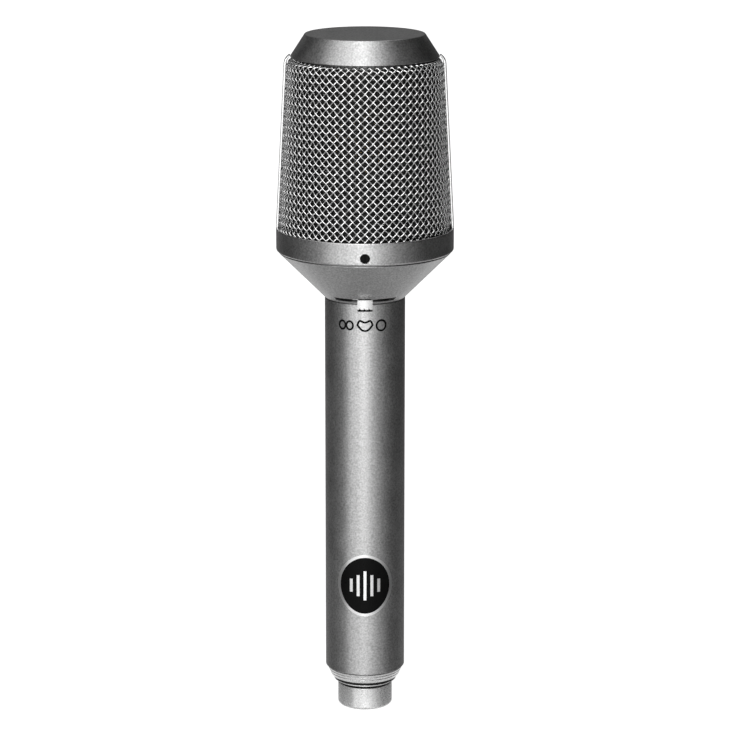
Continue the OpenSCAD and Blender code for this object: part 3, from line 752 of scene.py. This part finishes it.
def weave_paths(rising, turn):
    """Wires at 45 degrees to the centre line of the unrolled cone, over and under the other family's."""
    slope = math.sin(TAPER)
    foot = MESH_FOOT_R - (Z_MESH - Z_RING_TOP) * math.tan(TAPER)
    slant = foot / slope
    along = np.arange(-WEAVE_REACH, WEAVE_REACH + 1e-9, WEAVE_STEP)
    furthest = int(WEAVE_REACH / WEAVE_PITCH)
    paths = []
    for index in range(-furthest, furthest + 1):
        across = index * WEAVE_PITCH
        u, v = (along, across) if rising else (across, along)
        x = (u - v) / math.sqrt(2)
        y = (u + v) / math.sqrt(2)
        length = np.hypot(x, slant - y)
        theta = np.arctan2(x, slant - y) / slope
        s = slant - length
        wave = WEAVE_CRIMP * np.cos(math.pi * (along / WEAVE_PITCH + index))
        depth = WEAVE_WIRE_R + WEAVE_CRIMP - (wave if rising else -wave)
        inside = (s >= 0) & (s <= WALL_SLANT) & (np.abs(theta) <= SEAM_HALF)
        runs = np.split(np.arange(len(along)), np.flatnonzero(np.diff(inside.astype(int))) + 1)
        for run in runs:
            if inside[run[0]] and len(run) > 2:
                paths.append(wall_points(s[run], theta[run] + turn, depth[run]))
    return paths


GAUZE_PITCH = 0.42
GAUZE_WIRE_R = 0.16
GAUZE_CRIMP = 0.08
GAUZE_GAP = 0.05
GAUZE_TOP = WALL_SLANT - 0.6
GAUZE_DEPTH = MESH_T + GAUZE_GAP + GAUZE_WIRE_R + GAUZE_CRIMP


def gauze_paths(hoops, turn):
    """Fine square gauze behind the weave: hoops round the wall, and uprights that climb it, interlaced."""
    uprights = round(math.pi * MESH_FOOT_R / GAUZE_PITCH)
    theta = np.linspace(-SEAM_HALF, SEAM_HALF, uprights) + turn
    s = np.linspace(0, GAUZE_TOP, round(GAUZE_TOP / GAUZE_PITCH))
    paths = []
    if hoops:
        for k, height in enumerate(s):
            over = np.where((np.arange(uprights) + k) % 2, 1.0, -1.0)
            paths.append(wall_points(np.full(uprights, height), theta, GAUZE_DEPTH - over * GAUZE_CRIMP))
    else:
        for k, angle in enumerate(theta):
            over = np.where((np.arange(len(s)) + k) % 2, -1.0, 1.0)
            paths.append(wall_points(s, np.full(len(s), angle), GAUZE_DEPTH - over * GAUZE_CRIMP))
    return paths


for side_name, turn in (("front", 0.0), ("rear", math.pi)):
    for family, rising in (("rising", True), ("falling", False)):
        wires(f"weave_{side_name}_{family}", weave_paths(rising, turn), WEAVE_WIRE_R, 8, "bright_mesh",
              [f"grille_mesh_{side_name}"])
    for family, hoops in (("hoops", True), ("uprights", False)):
        wires(f"gauze_{side_name}_{family}", gauze_paths(hoops, turn), GAUZE_WIRE_R, 4, "fine_gauze",
              ["gauze_liner"])


# ---- Floor, light and camera ----

FLOOR_HALF = 6.0
FLOOR_GREY = (0.40, 0.40, 0.40, 1)
FLOOR_GLOW = 0.92
PAPER = (0.93, 0.93, 0.93, 1)

# The studio round the microphone, by direction. A lobe is a product of ramps, each of them
# (axis, start, end, brightness at the start, brightness at the end).
LOBES = {
    "panel": (
        ("X", -0.78, -0.70, 0, 1), ("X", 0.03, 0.62, 1, 0),
        ("Z", -0.50, -0.20, 0, 1), ("Y", -0.30, 0.0, 1.20, 0),
    ),
    "glow": (
        ("X", -0.175, -0.105, 0, 1), ("X", -0.005, 0.065, 1, 0),
        ("Z", -0.36, 0.02, 0, 1), ("Z", 0.75, 0.95, 1, 0), ("Y", -0.30, 0.0, 4.0, 0),
    ),
    "right": (
        ("X", 0.0, 0.35, 0, 1), ("X", 0.55, 0.95, 1, 0),
        ("Z", -0.66, -0.50, 0, 1), ("Z", -0.34, -0.22, 1, 0), ("Y", -0.45, 0.10, 0.62, 0),
    ),
    "left": (("X", -0.28, -0.08, 0.09, 0), ("Y", -0.3, 0.5, 1, 0), ("Z", -0.6, -0.2, 0, 1)),
    "below": (("Z", -0.70, -0.35, 0.29, 0),),
    "low": (("Z", -0.45, -0.12, 0.07, 0),),
    "behind": (("Y", 0.55, 1.05, 0, 0.19), ("Z", -0.25, 0.10, 1, 0.55), ("X", 0.05, 0.6, 1, 0.3)),
    "back": (("Y", 0.25, 0.85, 0, 0.55), ("Z", -0.78, -0.58, 0, 1), ("Z", -0.46, -0.30, 1, 0)),
    "sky": (("Y", -0.1, 0.4, 0, 0.7), ("Z", 0.64, 0.90, 0, 1)),
}

CAMERA_SENSOR = 36.0
CAMERA_LENS = 140.9
CAMERA_PITCH = math.radians(13.59)
CAMERA_DISTANCE = 0.7864
CAMERA_TARGET_Z = 0.0335


def make_floor():
    """A plain pale floor under the microphone. From below it is clear."""
    half = FLOOR_HALF
    mesh = bpy.data.meshes.new("floor")
    z = cad_box[0].z
    corners = [(-half, -half, z), (half, -half, z), (half, half, z), (-half, half, z)]
    mesh.from_pydata(corners, [], [(0, 1, 2, 3)])
    made = bpy.data.objects.new("floor", mesh)
    bpy.context.scene.collection.objects.link(made)
    made.visible_glossy = False
    made.visible_shadow = False
    material = bpy.data.materials.new("pale_floor")
    material.use_nodes = True
    nodes, links = material.node_tree.nodes, material.node_tree.links
    nodes.clear()
    output = nodes.new("ShaderNodeOutputMaterial")
    clear = nodes.new("ShaderNodeBsdfTransparent")
    matt = nodes.new("ShaderNodeBsdfPrincipled")
    matt.inputs["Base Color"].default_value = FLOOR_GREY
    matt.inputs["Roughness"].default_value = 1.0
    matt.inputs["Specular IOR Level"].default_value = 0.0
    matt.inputs["Emission Color"].default_value = (1, 1, 1, 1)
    matt.inputs["Emission Strength"].default_value = FLOOR_GLOW
    mix = nodes.new("ShaderNodeMixShader")
    links.new(nodes.new("ShaderNodeNewGeometry").outputs["Backfacing"], mix.inputs[0])
    links.new(matt.outputs[0], mix.inputs[1])
    links.new(clear.outputs[0], mix.inputs[2])
    links.new(mix.outputs[0], output.inputs["Surface"])
    mesh.materials.append(material)
    return made


def make_light():
    """Soft studio surround: a broad panel with a bright strip at the front left, dim cards elsewhere.
    The camera itself sees plain pale paper past the floor's edge."""
    world = bpy.data.worlds.new("studio")
    bpy.context.scene.world = world
    world.use_nodes = True
    nodes, links = world.node_tree.nodes, world.node_tree.links
    nodes.clear()
    output = nodes.new("ShaderNodeOutputWorld")
    background = nodes.new("ShaderNodeBackground")
    direction = nodes.new("ShaderNodeSeparateXYZ")
    links.new(nodes.new("ShaderNodeTexCoord").outputs["Generated"], direction.inputs[0])

    def ramp(axis, start, end, low, high):
        node = nodes.new("ShaderNodeMapRange")
        node.interpolation_type = "SMOOTHSTEP"
        for socket, number in (("From Min", start), ("From Max", end), ("To Min", low), ("To Max", high)):
            node.inputs[socket].default_value = number
        links.new(direction.outputs[axis], node.inputs["Value"])
        return node.outputs["Result"]

    def combine(operation, values):
        total = values[0]
        for value in values[1:]:
            node = nodes.new("ShaderNodeMath")
            node.operation = operation
            links.new(total, node.inputs[0])
            links.new(value, node.inputs[1])
            total = node.outputs[0]
        return total

    lobes = [combine("MULTIPLY", [ramp(*row) for row in rows]) for rows in LOBES.values()]
    links.new(combine("ADD", lobes), background.inputs["Color"])
    paper = nodes.new("ShaderNodeBackground")
    paper.inputs["Color"].default_value = PAPER
    seen = nodes.new("ShaderNodeMixShader")
    links.new(nodes.new("ShaderNodeLightPath").outputs["Is Camera Ray"], seen.inputs[0])
    links.new(background.outputs[0], seen.inputs[1])
    links.new(paper.outputs[0], seen.inputs[2])
    links.new(seen.outputs[0], output.inputs["Surface"])


def make_camera():
    """Camera at the front, a little above, looking slightly down."""
    data = bpy.data.cameras.new("camera")
    data.sensor_width = CAMERA_SENSOR
    data.lens = CAMERA_LENS
    data.clip_start, data.clip_end = 0.01, 50
    camera = bpy.data.objects.new("camera", data)
    bpy.context.scene.collection.objects.link(camera)
    back, up = math.cos(CAMERA_PITCH), math.sin(CAMERA_PITCH)
    camera.location = (0, -CAMERA_DISTANCE * back, CAMERA_TARGET_Z + CAMERA_DISTANCE * up)
    camera.rotation_euler = (math.pi / 2 - CAMERA_PITCH, 0, 0)
    bpy.context.scene.camera = camera


make_floor()
make_light()
make_camera()
bpy.context.scene.view_settings.view_transform = "Standard"
